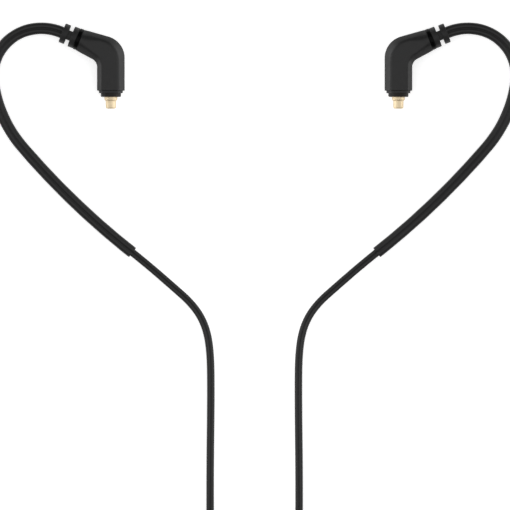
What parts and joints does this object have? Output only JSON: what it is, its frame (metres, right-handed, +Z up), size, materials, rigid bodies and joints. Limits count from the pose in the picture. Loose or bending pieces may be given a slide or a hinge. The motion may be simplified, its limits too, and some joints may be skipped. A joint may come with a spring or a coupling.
{
  "type": "in-ear monitor cable",
  "caption": "Detachable stage earphone cable: two pre-formed ear hooks ending in angled snap-in coaxial plugs, joined at a splitter with chin slider, coiled lead and stereo jack.",
  "frame": {"origin": "on the surface the cable lies on, below the middle of the two ear ends (plug housings, connectors and ear hooks)", "axes": "+X from the left ear end to the right one, +Y from the jack towards the ear ends, +Z up off the surface"},
  "size_m": [0.1256, 0.23, 0.0101],
  "materials": {
    "bare_copper_core": "enamelled copper strand",
    "barrel_metal": "black anodised, satin",
    "black_insulator": "black, smooth",
    "cable_jacket": "satin black jacket",
    "collar_plastic": "satin black",
    "gloss_ring": "polished black",
    "gold_contact": "gold plated, polished",
    "housing_plastic": "fine satin moulded texture",
    "inner_plastic": "matt, hidden inside",
    "red_core": "insulated wire",
    "relief_rubber": "satin black elastomer",
    "sleeve_rubber": "satin black formed tubing",
    "slider_plastic": "satin black",
    "tie_fabric": "black hook-and-loop strap",
    "white_insulator": "white, smooth"
  },
  "bodies": {
    "cable": {"jack_barrel": "barrel_metal", "jack_boot": "relief_rubber", "jack_cable_end": "cable_jacket", "jack_inner_mould": "inner_plastic", "jack_ring": "gold_contact", "jack_ring_insulator": "black_insulator", "jack_sleeve": "gold_contact", "jack_tip": "gold_contact", "jack_tip_insulator": "black_insulator", "left_branch_cable": "cable_jacket", "left_branch_coil": "cable_jacket", "left_branch_coil_tie": "tie_fabric", "left_branch_tail": "cable_jacket", "left_centre_pin": "gold_contact", "left_connector_barrel": "gold_contact", "left_dielectric": "white_insulator", "left_ground_core": "bare_copper_core", "left_hook_lead": "cable_jacket", "left_hook_sleeve": "sleeve_rubber", "left_inner_mould": "inner_plastic", "left_marker_ring": "gloss_ring", "left_nose_collar": "collar_plastic", "left_plug_housing": "housing_plastic", "left_signal_core": "red_core", "left_strain_relief": "relief_rubber", "main_cable": "cable_jacket", "main_cable_tail": "cable_jacket", "main_coil": "cable_jacket", "main_coil_tie": "tie_fabric", "right_branch_cable": "cable_jacket", "right_branch_coil": "cable_jacket", "right_branch_coil_tie": "tie_fabric", "right_branch_tail": "cable_jacket", "right_centre_pin": "gold_contact", "right_connector_barrel": "gold_contact", "right_dielectric": "white_insulator", "right_ground_core": "bare_copper_core", "right_hook_lead": "cable_jacket", "right_hook_sleeve": "sleeve_rubber", "right_inner_mould": "inner_plastic", "right_marker_ring": "gloss_ring", "right_nose_collar": "collar_plastic", "right_plug_housing": "housing_plastic", "right_signal_core": "red_core", "right_strain_relief": "relief_rubber", "splitter_boot": "relief_rubber", "splitter_cable_end": "cable_jacket", "splitter_cap": "inner_plastic", "splitter_joint": "inner_plastic", "splitter_shell": "slider_plastic"},
    "left_snap_ring": {"left_snap_ring": "gold_contact"},
    "right_snap_ring": {"right_snap_ring": "gold_contact"},
    "chin_slider": {"chin_slider": "slider_plastic"}
  },
  "joints": [
    {"name": "left_snap_ring_spin", "type": "hinge", "parent": "cable", "child": "left_snap_ring", "pos_m": [-0.03375, 0.00967, 0.0027], "axis": [0, -1, 0], "continuous": true},
    {"name": "right_snap_ring_spin", "type": "hinge", "parent": "cable", "child": "right_snap_ring", "pos_m": [0.03375, 0.00967, 0.0027], "axis": [0, -1, 0], "continuous": true},
    {"name": "chin_slider_slide", "type": "slide", "parent": "cable", "child": "chin_slider", "axis": [0, 1, 0], "range_m": [-0.017, 0.004]}
  ]
}
